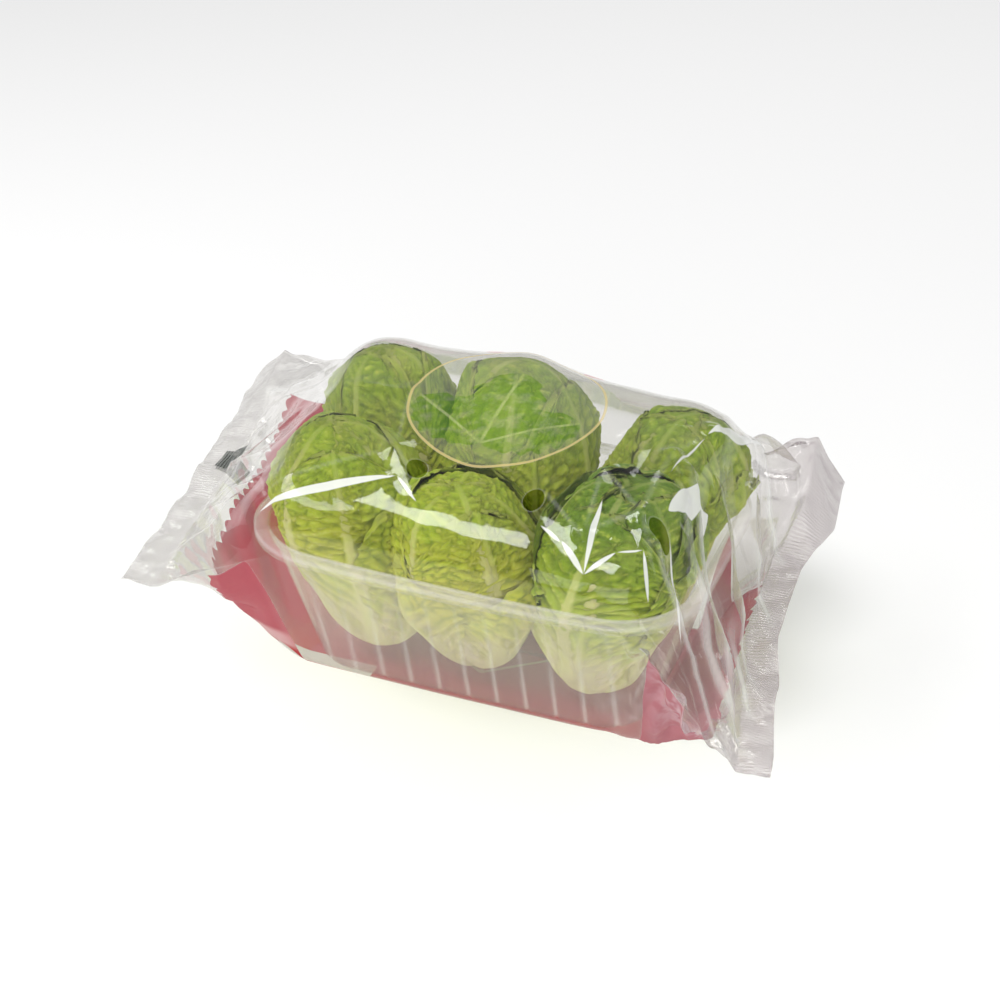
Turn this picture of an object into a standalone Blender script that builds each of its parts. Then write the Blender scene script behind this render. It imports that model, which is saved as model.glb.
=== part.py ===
"""A sealed flow-wrapped pack of six little gem lettuces in a tray.

Metres, +Z up.  The pack lies on its flat underside on the XY plane, its long
axis along X, with the origin under the middle of the tray.  The pack is shut
and stays one solid: the outer form of the film, drawn down round the tapered
tray, domed over the lettuce heads and drawn together at both ends into a wide,
flat, crimped fin that hangs a little askew.
"""

import math

import bmesh
import bpy

# ---- driving dimensions -------------------------------------------------------
TRAY_LENGTH = 0.200          # over the rim, along X
TRAY_WIDTH = 0.130           # over the rim, along Y
TRAY_HEIGHT = 0.073
BASE_INSET = 0.024           # how far each wall leans in between rim and base
BASE_EDGE_RADIUS = 0.006
SIDE_BOW = 0.005             # the long walls swell this much at mid length

CROWN_HEIGHT = 0.109         # top of the film over the heads
CROWN_SHOULDER = 0.052       # half width of the nearly flat top
CROWN_END_DROP = 0.006       # how much lower the crown is where the cones start
CROWN_SIDE_REACH = 0.001     # how far the film stands out past the rim just above it
CROWN_SIDE_RISE = 0.72       # how full the film's sides are between rim and crown
HEAD_SPREAD = 0.023          # how wide each head's bulge spreads in the film
HEAD_BULGES = (
    # x and y of each head's top and how far it pushes the film up
    (-0.064, 0.042, 0.0100), (-0.010, 0.046, 0.0095), (0.058, 0.042, 0.0070),
    (-0.060, -0.020, 0.0050), (0.056, -0.020, 0.0055),
)

FILM_HALF_WIDTH = 0.084      # half width of the flattened film tube
FIN_THICKNESS = 0.0024
FIN_LENGTH = 0.014
CONE_START = 0.076           # distance from the middle where the film leaves the tray
CONE_EASING = 0.15           # 0 makes straight lines from tray to fin, 1 a full S-curve
FIN_MIDDLE = 0.008           # the fins lie this far off centre, towards the back row
FIN_EASING = 0.7             # how wavy the line through a fin's knots is
DROOP_START = 0.30           # share across a fin where its back corner starts to droop
SAG_WIDTH = 1.1              # share across in which the lower layer sags, from the front

# A fin's outer edge, x out from the middle and z, from front (-1) to back (1);
# droop is how much higher the back corner's inner edge lies than its outer one, and
# sag is how far the lower layer hangs below a straight line from tray to fin.
LEFT_FIN = {
    "side": -1.0, "droop": 0.015, "sag": 0.014,
    "edge": ((-1.0, 0.145), (-0.3, 0.151), (0.4, 0.156), (1.0, 0.162)),
    "rise": ((-1.0, 0.050), (-0.4, 0.050), (0.3, 0.056), (1.0, 0.060)),
}
RIGHT_FIN = {
    "side": 1.0, "droop": 0.018, "sag": 0.016,
    "edge": ((-1.0, 0.141), (-0.45, 0.131), (-0.1, 0.123), (0.38, 0.122), (0.65, 0.129), (1.0, 0.126)),
    "rise": ((-1.0, 0.026), (-0.4, 0.034), (0.2, 0.047), (1.0, 0.062)),
}

# ---- mesh density -------------------------------------------------------------
BASE_STEPS = 6
EDGE_STEPS = 3
WALL_STEPS = 6
BODY_STATIONS = 21
CONE_STATIONS = 9
FIN_STATIONS = 4


def clear_scene():
    for item in list(bpy.data.objects):
        bpy.data.objects.remove(item, do_unlink=True)


def mix(a, b, share):
    return a + (b - a) * share


def smooth_step(value):
    value = min(max(value, 0.0), 1.0)
    return value * value * (3.0 - 2.0 * value)


def wall_swell(x):
    """Outward bow of the long walls, largest at mid length."""
    along = min(abs(x) / (TRAY_LENGTH / 2.0), 1.0)
    return SIDE_BOW * (1.0 - along * along)


def half_underside(x):
    """Half of the lower profile, from the middle of the base up to the rim."""
    rim_y = TRAY_WIDTH / 2.0 + wall_swell(x)
    base_y = TRAY_WIDTH / 2.0 - BASE_INSET + wall_swell(x) * 0.3
    wall_angle = math.atan2(TRAY_HEIGHT, rim_y - base_y)
    setback = BASE_EDGE_RADIUS * math.tan(wall_angle / 2.0)
    points = []
    for step in range(BASE_STEPS):
        points.append(((base_y - setback) * step / BASE_STEPS, 0.0))
    for step in range(EDGE_STEPS + 1):
        turn = wall_angle * step / EDGE_STEPS
        points.append((base_y - setback + BASE_EDGE_RADIUS * math.sin(turn),
                       BASE_EDGE_RADIUS * (1.0 - math.cos(turn))))
    foot_y, foot_z = points[-1]
    for step in range(1, WALL_STEPS + 1):
        share = step / WALL_STEPS
        points.append((mix(foot_y, rim_y, share), mix(foot_z, TRAY_HEIGHT, share)))
    return points


def head_bulge(x, y):
    """Extra height of the film where the heads push it up."""
    height = 0.0
    for head_x, head_y, rise in HEAD_BULGES:
        distance = math.hypot(x - head_x, y - head_y)
        height += rise * math.exp(-(distance / HEAD_SPREAD) ** 2)
    return height


def half_crown(x, side, count):
    """Half of the upper profile, from the middle of the top down to the rim."""
    rim_y = TRAY_WIDTH / 2.0 + wall_swell(x)
    crown = CROWN_HEIGHT - CROWN_END_DROP * (abs(x) / CONE_START) ** 3
    controls = ((0.0, crown), (CROWN_SHOULDER, crown),
                (rim_y + CROWN_SIDE_REACH, mix(TRAY_HEIGHT, crown, CROWN_SIDE_RISE)),
                (rim_y, TRAY_HEIGHT))
    points = []
    for step in range(count):
        t = step / (count - 1)
        weights = ((1 - t) ** 3, 3 * t * (1 - t) ** 2, 3 * t * t * (1 - t), t ** 3)
        y = sum(weight * point[0] for weight, point in zip(weights, controls))
        z = sum(weight * point[1] for weight, point in zip(weights, controls))
        points.append((y, z + head_bulge(x, side * y)))
    return points


def ring_shares(profile):
    """Share of the half width at each profile point, measured along the film."""
    lengths = [0.0]
    for start, end in zip(profile[:-1], profile[1:]):
        lengths.append(lengths[-1] + math.dist(start, end))
    return [length / lengths[-1] for length in lengths]


def body_ring(x):
    """Closed cross-section round the tray and heads: underside, then crown."""
    lower = half_underside(x)
    count = len(lower)
    back = half_crown(x, 1.0, count)
    front = half_crown(x, -1.0, count)
    lift = FIN_THICKNESS / 2.0
    under = [(x, -y, z) for y, z in reversed(lower)] + [(x, y, z) for y, z in lower[1:]]
    over = [(x, y, z + lift) for y, z in reversed(back)] + [(x, -y, z + lift) for y, z in front[1:]]
    return under + over


def through(knots, value):
    """Height at a value on a line through knots, easing from each knot to the next."""
    for (start, low), (end, high) in zip(knots[:-1], knots[1:]):
        if value <= end:
            break
    share = (value - start) / (end - start)
    return mix(low, high, mix(share, smooth_step(share), FIN_EASING))


def shares_across():
    """Share across the film, from front (-1) to back (1), of each column of points."""
    shares = ring_shares(half_underside(0.0))
    return [-share for share in reversed(shares)] + shares[1:]


def fin_ring(fin, distance):
    """Flat cross-section of a fin, a distance out from its inner edge."""
    inward = 1.0 - distance / FIN_LENGTH
    under = []
    over = []
    for v in shares_across():
        x = fin["side"] * (through(fin["edge"], v) - FIN_LENGTH + distance)
        y = FIN_MIDDLE + FILM_HALF_WIDTH * v
        droop = fin["droop"] * smooth_step((v - DROOP_START) / (1.0 - DROOP_START))
        z = through(fin["rise"], v) + droop * inward
        under.append((x, y, z - FIN_THICKNESS / 2.0))
        over.append((x, y, z + FIN_THICKNESS / 2.0))
    return under + list(reversed(over))


def cone_ring(fin, share):
    """Cross-section between the tray's end and the fin's inner edge."""
    inner = body_ring(fin["side"] * CONE_START)
    outer = fin_ring(fin, 0.0)
    eased = mix(share, smooth_step(share), CONE_EASING)
    ring = []
    for start, end in zip(inner, outer):
        ring.append((mix(start[0], end[0], share), mix(start[1], end[1], eased),
                     mix(start[2], end[2], eased)))
    for column, v in enumerate(shares_across()):
        x, y, z = ring[column]
        hang = math.sin(math.pi * share) * math.sin(math.pi * min((v + 1.0) / SAG_WIDTH, 1.0))
        ring[column] = (x, y, max(z - fin["sag"] * hang, 0.0))
    return ring


def pack_rings():
    """All cross-sections, from the outer edge of the left fin to the right one."""
    left = [fin_ring(LEFT_FIN, FIN_LENGTH * step / FIN_STATIONS) for step in range(FIN_STATIONS, 0, -1)]
    left += [cone_ring(LEFT_FIN, step / CONE_STATIONS) for step in range(CONE_STATIONS, 0, -1)]
    body = []
    for step in range(BODY_STATIONS):
        body.append(body_ring(mix(-CONE_START, CONE_START, step / (BODY_STATIONS - 1))))
    right = [cone_ring(RIGHT_FIN, step / CONE_STATIONS) for step in range(1, CONE_STATIONS + 1)]
    right += [fin_ring(RIGHT_FIN, FIN_LENGTH * step / FIN_STATIONS) for step in range(1, FIN_STATIONS + 1)]
    return left + body + right


def close_end(mesh, ring):
    """Close the outer edge of a fin with a strip between its two layers."""
    half = len(ring) // 2
    for step in range(half - 1):
        mesh.faces.new((ring[step], ring[step + 1], ring[-step - 2], ring[-step - 1]))


def build_pack(collection):
    mesh = bmesh.new()
    rings = [[mesh.verts.new(point) for point in ring] for ring in pack_rings()]
    for ring, following in zip(rings[:-1], rings[1:]):
        for step in range(len(ring)):
            after = (step + 1) % len(ring)
            mesh.faces.new((ring[step], ring[after], following[after], following[step]))
    close_end(mesh, rings[0])
    close_end(mesh, rings[-1])
    bmesh.ops.recalc_face_normals(mesh, faces=mesh.faces)
    data = bpy.data.meshes.new("sealed_pack")
    mesh.to_mesh(data)
    mesh.free()
    data.shade_smooth()
    data.set_sharp_from_angle(angle=math.radians(40.0))
    pack = bpy.data.objects.new("sealed_pack", data)
    collection.objects.link(pack)
    return pack


def clear_film_material():
    material = bpy.data.materials.new("clear_film_over_lettuce")
    material.use_nodes = True
    shader = material.node_tree.nodes["Principled BSDF"]
    shader.inputs["Base Color"].default_value = (0.36, 0.50, 0.14, 1.0)
    shader.inputs["Roughness"].default_value = 0.18
    shader.inputs["Metallic"].default_value = 0.0
    return material


def main():
    clear_scene()
    collection = bpy.data.collections.new("little_gem_lettuce_tray")
    bpy.context.scene.collection.children.link(collection)
    pack = build_pack(collection)
    pack.data.materials.append(clear_film_material())


main()
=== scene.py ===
"""Looks of a flow-wrapped tray of little gem lettuce: heads, ribbed tray, printed film."""

import math

import bpy
import mathutils
import numpy as np
from mathutils.bvhtree import BVHTree
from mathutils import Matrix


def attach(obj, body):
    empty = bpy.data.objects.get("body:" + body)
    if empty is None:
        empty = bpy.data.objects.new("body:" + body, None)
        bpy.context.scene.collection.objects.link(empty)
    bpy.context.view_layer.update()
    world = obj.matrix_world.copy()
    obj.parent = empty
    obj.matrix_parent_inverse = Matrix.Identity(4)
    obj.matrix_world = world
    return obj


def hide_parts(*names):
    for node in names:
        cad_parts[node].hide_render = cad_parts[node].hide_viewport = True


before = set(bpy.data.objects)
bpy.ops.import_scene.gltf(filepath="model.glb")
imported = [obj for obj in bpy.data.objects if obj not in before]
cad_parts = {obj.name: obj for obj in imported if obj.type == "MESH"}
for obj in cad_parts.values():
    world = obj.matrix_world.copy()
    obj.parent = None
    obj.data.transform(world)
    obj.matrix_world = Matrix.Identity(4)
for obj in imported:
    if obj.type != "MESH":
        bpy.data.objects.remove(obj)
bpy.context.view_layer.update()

# ---- sizes in metres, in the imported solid's frame ----
TRAY_LENGTH = 0.2
TRAY_WIDTH = 0.13
TRAY_HEIGHT = 0.073
BASE_INSET = 0.024
BASE_EDGE = 0.006
SIDE_BOW = 0.005
CORNER_RADIUS = 0.033
RIM_WIDTH = 0.0055
TRAY_WALL = 0.0006
RIB_PITCH = 0.0132
RIB_DEPTH = 0.001
RIB_HALF_WIDTH = 0.0009
FILM_GAP = 0.0012  # how far the tray stands inside the film
LEAF_CLEARANCE = 0.0008  # between a head and the film or tray
PRESS_EASE = 0.007  # run in which a pressed leaf slows down

CROWN_HEIGHT = 0.109
CROWN_END_DROP = 0.006
CROWN_SIDE_RISE = 0.72
CROWN_SHOULDER = 0.052
FILM_HALF_WIDTH = 0.084
FIN_LENGTH = 0.014
FIN_GAP = 0.0005  # between the two layers of a fin
FIN_MIDDLE = 0.008  # the fins lie this far off centre, towards the back row
FIN_EASING = 0.7  # how wavy the line through a fin's knots is
DROOP_START = 0.3  # share across a fin where its back corner starts to droop
CONE_START = 0.076  # distance from the middle where the film leaves the tray
CONE_EASING = 0.15
SAG_WIDTH = 1.1  # share across in which the lower layer hangs down, from the front

# A fin's outer edge in plan and in height, as (share across, x or z) from front to back.
LEFT_FIN = {
    "side": -1.0, "droop": 0.015, "sag": 0.014,
    "edge": ((-1.0, 0.145), (-0.3, 0.151), (0.4, 0.156), (1.0, 0.162)),
    "rise": ((-1.0, 0.05), (-0.4, 0.05), (0.3, 0.056), (1.0, 0.06)),
}
RIGHT_FIN = {
    "side": 1.0, "droop": 0.018, "sag": 0.016,
    "edge": ((-1.0, 0.141), (-0.45, 0.131), (-0.1, 0.123), (0.38, 0.122), (0.65, 0.129), (1.0, 0.126)),
    "rise": ((-1.0, 0.026), (-0.4, 0.034), (0.2, 0.047), (1.0, 0.062)),
}

COLUMNS = 141  # film columns across each layer
BODY_ROWS = 120  # film rows over the tray, in a cone and in a fin
CONE_ROWS = 70
FIN_ROWS = 14


# ---- number helpers ----
def mix(a, b, share):
    return a + (b - a) * share


def joined(*parts):
    """Coordinates, or corner numbers, joined along a last axis."""
    return np.stack(np.broadcast_arrays(*parts), axis=-1)


def unit(vectors):
    return vectors / np.maximum(np.linalg.norm(vectors, axis=-1, keepdims=True), 1e-12)


def metres(value):
    """Millimetres turned into metres, in a number or in a nested table."""
    return tuple(metres(part) for part in value) if isinstance(value, tuple) else value / 1000.0


def smooth(low, high, value):
    share = np.clip((value - low) / (high - low), 0.0, 1.0)
    return share * share * (3.0 - 2.0 * share)


def scatter(*cells):
    """A repeatable random number from 0 to 1 for each whole-number cell."""
    total = np.zeros(np.broadcast(*cells).shape)
    for cell, weight in zip(cells, (12.9898, 78.233, 37.719, 91.17)):
        total = total + cell * weight
    return np.modf(np.abs(np.sin(total) * 43758.5453))[0]


def soft_noise(*place, seed=0):
    """Smooth noise from -1 to 1 over two or three coordinates."""
    whole = [np.floor(value) for value in place]
    part = [smooth(0.0, 1.0, value - low) for value, low in zip(place, whole)]
    total = 0.0
    for corner in range(2 ** len(place)):
        weight = 1.0
        cells = []
        for axis in range(len(place)):
            step = (corner >> axis) & 1
            weight = weight * (part[axis] if step else 1.0 - part[axis])
            cells.append(whole[axis] + step)
        total = total + weight * scatter(*cells, seed)
    return total * 2.0 - 1.0


def blisters(u, v, seed=0):
    """Rounded cells: 0 on the lines between them, rising inside each one."""
    nearest = np.full(u.shape, 9.0)
    second = np.full(u.shape, 9.0)
    for du in (-1, 0, 1):
        for dv in (-1, 0, 1):
            cu = np.floor(u) + du
            cv = np.floor(v) + dv
            pu = cu + 0.15 + 0.7 * scatter(cu, cv, seed)
            pv = cv + 0.15 + 0.7 * scatter(cu, cv, seed + 5)
            distance = np.hypot(u - pu, v - pv)
            second = np.where(distance < nearest, nearest, np.minimum(second, distance))
            nearest = np.minimum(nearest, distance)
    return np.clip(second - nearest, 0.0, 1.0)


def along_polyline(points, shares):
    """Points at given shares of a polyline's length."""
    steps = np.linalg.norm(np.diff(points, axis=0), axis=1)
    marks = np.concatenate([[0.0], np.cumsum(steps)])
    target = shares * marks[-1]
    return joined(*(np.interp(target, marks, line) for line in points.T))


def ridge_wave(value):
    """Straight-sided wave from -1 to 1: sums of these fold a sheet into facets."""
    return 4.0 * np.abs(value - np.floor(value) - 0.5) - 1.0


# ---- shader helpers ----
def math_node(operation):
    """A method of Field that adds one Math node."""
    def method(*operands):
        return operands[0].finish.add("Math", {"operation": operation}, dict(enumerate(operands)))
    return method


class Field:
    """A number that varies over a surface; arithmetic on it adds Math nodes."""

    def __init__(self, finish, socket):
        self.finish = finish
        self.socket = socket

    __add__ = __radd__ = math_node("ADD")
    __sub__ = math_node("SUBTRACT")
    __mul__ = __rmul__ = math_node("MULTIPLY")
    __truediv__ = math_node("DIVIDE")
    __pow__ = math_node("POWER")
    __abs__ = math_node("ABSOLUTE")
    wave = math_node("SINE")
    least = math_node("MINIMUM")
    most = math_node("MAXIMUM")

    def __rsub__(self, other):
        return self * -1.0 + other

    def rise(self, low, high):
        """0 below low, 1 above high and smooth between; low may be the larger."""
        settings = {"interpolation_type": "SMOOTHSTEP", "clamp": True}
        inputs = {"Value": self, "From Min": low, "From Max": high}
        return self.finish.add("MapRange", settings, inputs)


class Finish:
    """The nodes of a material, or of the surround, under construction."""

    def __init__(self, owner):
        owner.use_nodes = True
        self.owner = owner
        self.tree = owner.node_tree
        self.tree.nodes.clear()

    def add(self, kind, settings=None, inputs=None, output=0):
        node = self.tree.nodes.new("ShaderNode" + kind)
        for key, value in (settings or {}).items():
            setattr(node, key, value)
        for key, value in (inputs or {}).items():
            if isinstance(value, Field):
                self.tree.links.new(value.socket, node.inputs[key])
            else:
                node.inputs[key].default_value = value
        return Field(self, node.outputs[output]) if len(node.outputs) else None

    def place(self):
        """The point's coordinates in the object's frame, as three fields."""
        point = self.add("TexCoord", output="Object")
        return [self.add("SeparateXYZ", None, {0: point}, output=axis) for axis in range(3)]

    def attribute(self, name):
        return self.add("Attribute", {"attribute_name": name}, output="Fac")

    def blend(self, share, first, second):
        """A colour between two others, which are links or screen values."""
        inputs = {0: share, 6: colour(first), 7: colour(second)}
        return self.add("Mix", {"data_type": "RGBA"}, inputs, output=2)

    def noise(self, scale, detail=3.0, roughness=0.5, stretch=(1.0, 1.0, 1.0)):
        point = self.add("TexCoord", output="Object")
        point = self.add("Mapping", None, {"Vector": point, "Scale": stretch})
        inputs = {"Vector": point, "Scale": scale, "Detail": detail, "Roughness": roughness}
        return self.add("TexNoise", None, inputs)

    def facing(self):
        """0 where the surface is seen square on, 1 at a grazing angle."""
        return self.add("LayerWeight", None, {"Blend": 0.5}, output="Facing")

    def bump(self, height, distance, strength):
        inputs = {"Height": height, "Distance": distance, "Strength": strength}
        return self.add("Bump", None, inputs)

    def mix_shaders(self, share, first, second):
        return self.add("MixShader", None, {0: share, 1: first, 2: second})

    def done(self, shader, output="OutputMaterial"):
        self.add(output, None, {"Surface": shader})
        return self.owner


def finish_for(name):
    """Starts a material."""
    return Finish(bpy.data.materials.new(name))


def colour(value):
    """Scene colour from the usual 0 to 255 screen values; a link passes through."""
    if isinstance(value, Field):
        return value
    shares = [level / 255.0 for level in value]
    return (*[v / 12.92 if v <= 0.04045 else ((v + 0.055) / 1.055) ** 2.4 for v in shares], 1.0)


# ---- mesh helpers ----
def sheet_faces(rows, columns, closed=False, start=0):
    """Quads over a grid of points, row by row; closed joins the last column to the first."""
    row, column = np.mgrid[0:rows - 1, 0:columns if closed else columns - 1]
    after = (column + 1) % columns
    quads = joined(row * columns + column, row * columns + after,
                   (row + 1) * columns + after, (row + 1) * columns + column)
    return quads.reshape(-1, 4) + start


def new_object(name, data):
    thing = bpy.data.objects.new(name, data)
    bpy.context.scene.collection.objects.link(thing)
    return thing


def new_piece(name, points, faces, material, fields):
    """A smooth mesh object riding on the pack, with number fields on its points."""
    data = bpy.data.meshes.new(name)
    data.from_pydata(points.reshape(-1, 3).tolist(), [], faces)
    data.shade_smooth()
    for key, values in fields.items():
        layer = data.attributes.new(key, "FLOAT", "POINT")
        layer.data.foreach_set("value", np.ascontiguousarray(values, dtype=np.float32).ravel())
    data.materials.append(material)
    piece = new_object(name, data)
    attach(piece, "root")
    return piece


def let_light_through(piece):
    """Keeps a clear piece from shading what it holds."""
    piece.visible_shadow = False
    piece.visible_diffuse = False


def surface_tree(piece):
    """Search tree over a piece's unmodified surface."""
    data = piece.data
    corners = [vertex.co.copy() for vertex in data.vertices]
    return BVHTree.FromPolygons(corners, [tuple(face.vertices) for face in data.polygons])


def grid_normals(grid, closed=False):
    """Unit normals of a grid of points."""
    along = np.gradient(grid, axis=0)
    if closed:
        across = np.roll(grid, -1, axis=1) - np.roll(grid, 1, axis=1)
    else:
        across = np.gradient(grid, axis=1)
    return unit(np.cross(across, along))


# ---- lettuce heads ----
LEAVES = 9
LEAF_ROWS = 81
LEAF_COLUMNS = 71
LEAF_WRAP = 78  # half width of an outer leaf in degrees
GOLDEN_TURN = 2.399963  # turn from one leaf to the next
BELLY = 0.55  # height of a head's widest place, as a share
TAPER = 0.2  # how much narrower a head is at its root
CORE_ROWS = 30
CORE_COLUMNS = 40
CORE_SCALE = 0.86  # the solid heart of a head, against its outer leaves
HEART_SHARE = 0.62  # how far up a head its leaves are pressed towards
FRONT_FOOT = 0.008  # height of the roots over the floor, in the front and back rows
BACK_FOOT = 0.0025
CELLS = ((0.0078, 0.0056), (0.004, 0.0032))  # crinkle cells, large and small: width, height
CELL_WARP = 0.005
RIB_TIP = 0.0012  # half width of a midrib at its tip, and what its foot adds
RIB_FOOT = 0.0075
VEIN_HALF_WIDTH = 0.0009
VEIN_DRIFT = 0.0022
VEIN_STAGGER = 0.0032  # side veins on the right start this much further along
RELIEF = {"cells": 0.0019, "small cells": 0.0008, "fishbone": 0.0015, "rib": 0.0019,
          "wave": 0.0022, "lump": 0.0038, "swell": 0.0012}


def on_egg(direction, head, scale):
    """Point of a head's egg shape, narrow at the root, in a unit direction from its middle."""
    dx, dy, dz = (direction[..., axis] for axis in range(3))
    low = np.clip(-dz, 0.0, 1.0)
    middle = head["height"] * BELLY
    lift = np.where(dz > 0.0, head["height"] - middle, middle)
    spread = head["radius"] * (1.0 - TAPER * low ** 1.3)
    flat = np.sqrt(np.clip(dx * dx + dy * dy, 1e-9, 1.0))
    full = flat ** 0.82
    x = dx / flat * full * spread * scale
    y = dy / flat * full * spread * scale
    return joined(x, y, middle + dz * lift * mix(1.0, scale, 0.5 + 0.5 * np.sign(dz)))


def leaf_blade(head, leaf, u, v, seed):
    """A leaf without relief wrapped over the head, with its normals and metres across and along it."""
    ragged = 0.05 * soft_noise(v * 16.0, np.sign(u) + 4.0, seed=seed)
    ragged = (ragged + 0.025 * soft_noise(v * 47.0, np.sign(u), seed=seed)) * leaf["ragged"]
    round_tip = np.sqrt(np.clip(1.0 - (np.clip(v - 0.6, 0.0, 1.0) / 0.402) ** 2, 0.0, 1.0))
    half = leaf["half"] * (0.34 + 0.66 * smooth(0.0, 0.55, v)) * (round_tip + 0.03) * (1.0 + ragged)
    frill = 0.022 * leaf["ragged"] * soft_noise(u * 6.0, v * 0.0, seed=seed + 9)
    rise = leaf["root"] + (leaf["reach"] - leaf["root"]) * (v + frill * v * v)
    side = u * half
    turn = leaf["turn"] + leaf["twist"] * (v - 0.5)
    out = np.sin(rise) * np.cos(side)
    across = np.sin(side)
    direction = joined(np.sin(turn) * out + np.cos(turn) * across, np.sin(turn) * across - np.cos(turn) * out,
                       -np.cos(rise) * np.cos(side))
    blade = on_egg(direction, head, leaf["scale"])
    normal = grid_normals(blade)
    outward = blade - (0.0, 0.0, head["height"] * BELLY)
    normal = normal * np.sign(np.sum(normal * outward, axis=-1, keepdims=True))
    return blade, normal, side * head["radius"], (rise - leaf["root"]) * head["height"] * 0.5


def leaf_grid(rng, head, leaf):
    """Points of one leaf wrapped over the head, with its vein, height, pocket and edge fields."""
    u, v = np.meshgrid(np.linspace(-1.0, 1.0, LEAF_COLUMNS), np.linspace(0.0, 1.0, LEAF_ROWS))
    seed = int(rng.integers(0, 900))
    blade, normal, across_m, along_m = leaf_blade(head, leaf, u, v, seed)
    edge = np.abs(u)
    rim = np.maximum(smooth(0.6, 1.0, edge), smooth(0.86, 1.0, v))
    slant = np.abs(across_m) * 0.75 - across_m ** 2 * 9.0
    drift = VEIN_DRIFT * soft_noise(across_m * 130, along_m * 130, seed=seed + 1)
    number = (along_m - slant + drift + VEIN_STAGGER * (u > 0)) / leaf["vein_gap"]
    off_vein = np.abs(number - np.round(number)) * leaf["vein_gap"]
    rib_half = RIB_TIP + RIB_FOOT * (1.0 - v) ** 1.6
    rib = 1.0 - smooth(rib_half * 0.4, rib_half * 1.2, np.abs(across_m))
    vein = np.exp(-(off_vein / VEIN_HALF_WIDTH) ** 2) * smooth(0.0, 0.003, np.abs(across_m))
    vein = vein * (1.0 - 0.7 * edge ** 2)
    puff = 1.0 - np.clip(2.0 * off_vein / leaf["vein_gap"], 0.0, 1.0)
    fishbone = (puff ** 2 - 0.35) * (1.0 - smooth(0.55, 0.9, v)) * smooth(0.02, 0.2, v)
    warp = CELL_WARP * soft_noise(across_m * 95, along_m * 95, seed=seed + 7)
    (wide, tall), (fine_wide, fine_tall) = CELLS
    cells = blisters((across_m + warp) / wide, (along_m - warp - slant) / tall, seed=seed + 2)
    small = blisters((across_m - warp) / fine_wide, (along_m + warp) / fine_tall, seed=seed + 3)
    lump = soft_noise(blade[..., 0] * 42, blade[..., 1] * 42, blade[..., 2] * 36, seed=head["seed"])
    swell = soft_noise(across_m * 38, along_m * 38, seed=seed + 6)
    crinkle = smooth(0.42, 0.78, v) * (1.0 - rib) * (1.0 - 0.4 * rim)
    pocket = mix(puff, np.clip(cells * 1.3, 0.0, 1.0) ** 0.7, smooth(0.45, 0.75, v))
    wave = soft_noise(along_m * 170, np.sign(u) * 3.0 + 9.0, seed=seed + 4) * smooth(0.55, 1.0, edge)
    wave = wave + soft_noise(across_m * 190, across_m * 0.0, seed=seed + 5) * smooth(0.84, 1.0, v)
    lift = (leaf["crimp"] * RELIEF["cells"] * crinkle * (pocket - 0.45)
            + RELIEF["small cells"] * crinkle * small
            + RELIEF["fishbone"] * fishbone * (1.0 - rib)
            + RELIEF["rib"] * rib * (1.0 - 0.6 * v)
            + leaf["wave"] * RELIEF["wave"] * wave * smooth(0.15, 0.45, v)
            + RELIEF["lump"] * lump * smooth(0.05, 0.3, v)
            + RELIEF["swell"] * swell * smooth(0.1, 0.4, v)
            + leaf["peel"] * rim ** 1.5 * smooth(0.3, 0.8, v))
    grid = blade + normal * lift[..., None]
    grid[..., 2] = np.maximum(grid[..., 2], 0.0)
    hollows = smooth(0.1, 0.35, v) * (1.0 - rib)
    fields = {"vein": np.clip(rib * (1.25 - v) + vein * 0.8 * (1.15 - v), 0, 1),
              "ripe": np.clip(grid[..., 2] / head["height"], 0, 1),
              "pocket": mix(0.5, np.clip(pocket * 0.75 + small * 0.25, 0, 1), hollows),
              "edge": rim}
    return grid, fields


def head_leaves(rng, head):
    """Leaves of one head, from the heart outwards."""
    leaves = []
    turn = head["turn"]
    for index in range(LEAVES):
        outer = index / (LEAVES - 1)
        turn += GOLDEN_TURN + rng.uniform(-0.25, 0.25)
        leaves.append(dict(
            ragged=1.0, turn=turn, scale=mix(0.905, 1.0, outer) + rng.uniform(-0.004, 0.004),
            half=math.radians(mix(62, LEAF_WRAP, outer) * rng.uniform(0.92, 1.08)),
            root=math.radians(rng.uniform(16, 22)),
            reach=math.radians(mix(196, head["reach"], outer ** 1.3) + rng.uniform(-9, 7)),
            twist=rng.uniform(-0.3, 0.3), vein_gap=rng.uniform(0.0074, 0.0095), crimp=rng.uniform(0.75, 1.15),
            wave=mix(0.3, 0.4 + 0.5 * head["open"], outer) * rng.uniform(0.7, 1.2),
            peel=max(0.0, outer - 0.35) * head["open"] * rng.uniform(0.3, 1.5) * 0.01 - 0.0016))
    for number, (turn, reach, half) in enumerate(head["loose"]):
        leaves.append(dict(
            ragged=1.9, turn=math.radians(turn), scale=1.022 + 0.012 * number, half=math.radians(half),
            root=math.radians(18), reach=math.radians(reach), twist=rng.uniform(-0.3, 0.3),
            vein_gap=rng.uniform(0.0074, 0.0095), crimp=1.0, wave=1.1, peel=0.0006))
    return leaves


def press_in(points, centre, walls):
    """Presses a head's points inside the surfaces round it, keeping the leaves in order."""
    centre = mathutils.Vector(centre)
    pressed = points.copy()
    for index, point in enumerate(points):
        away = mathutils.Vector(point) - centre
        distance = away.length
        away.normalize()
        room = distance + 1.0
        for wall in walls:
            hit = wall.ray_cast(centre, away, distance + PRESS_EASE)
            if hit[3] is not None:
                room = min(room, hit[3] - LEAF_CLEARANCE)
        over = distance - room + PRESS_EASE
        if over > 0.0:
            distance = room - PRESS_EASE * math.exp(-over / PRESS_EASE)
        pressed[index] = centre + away * distance
    return pressed


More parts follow.
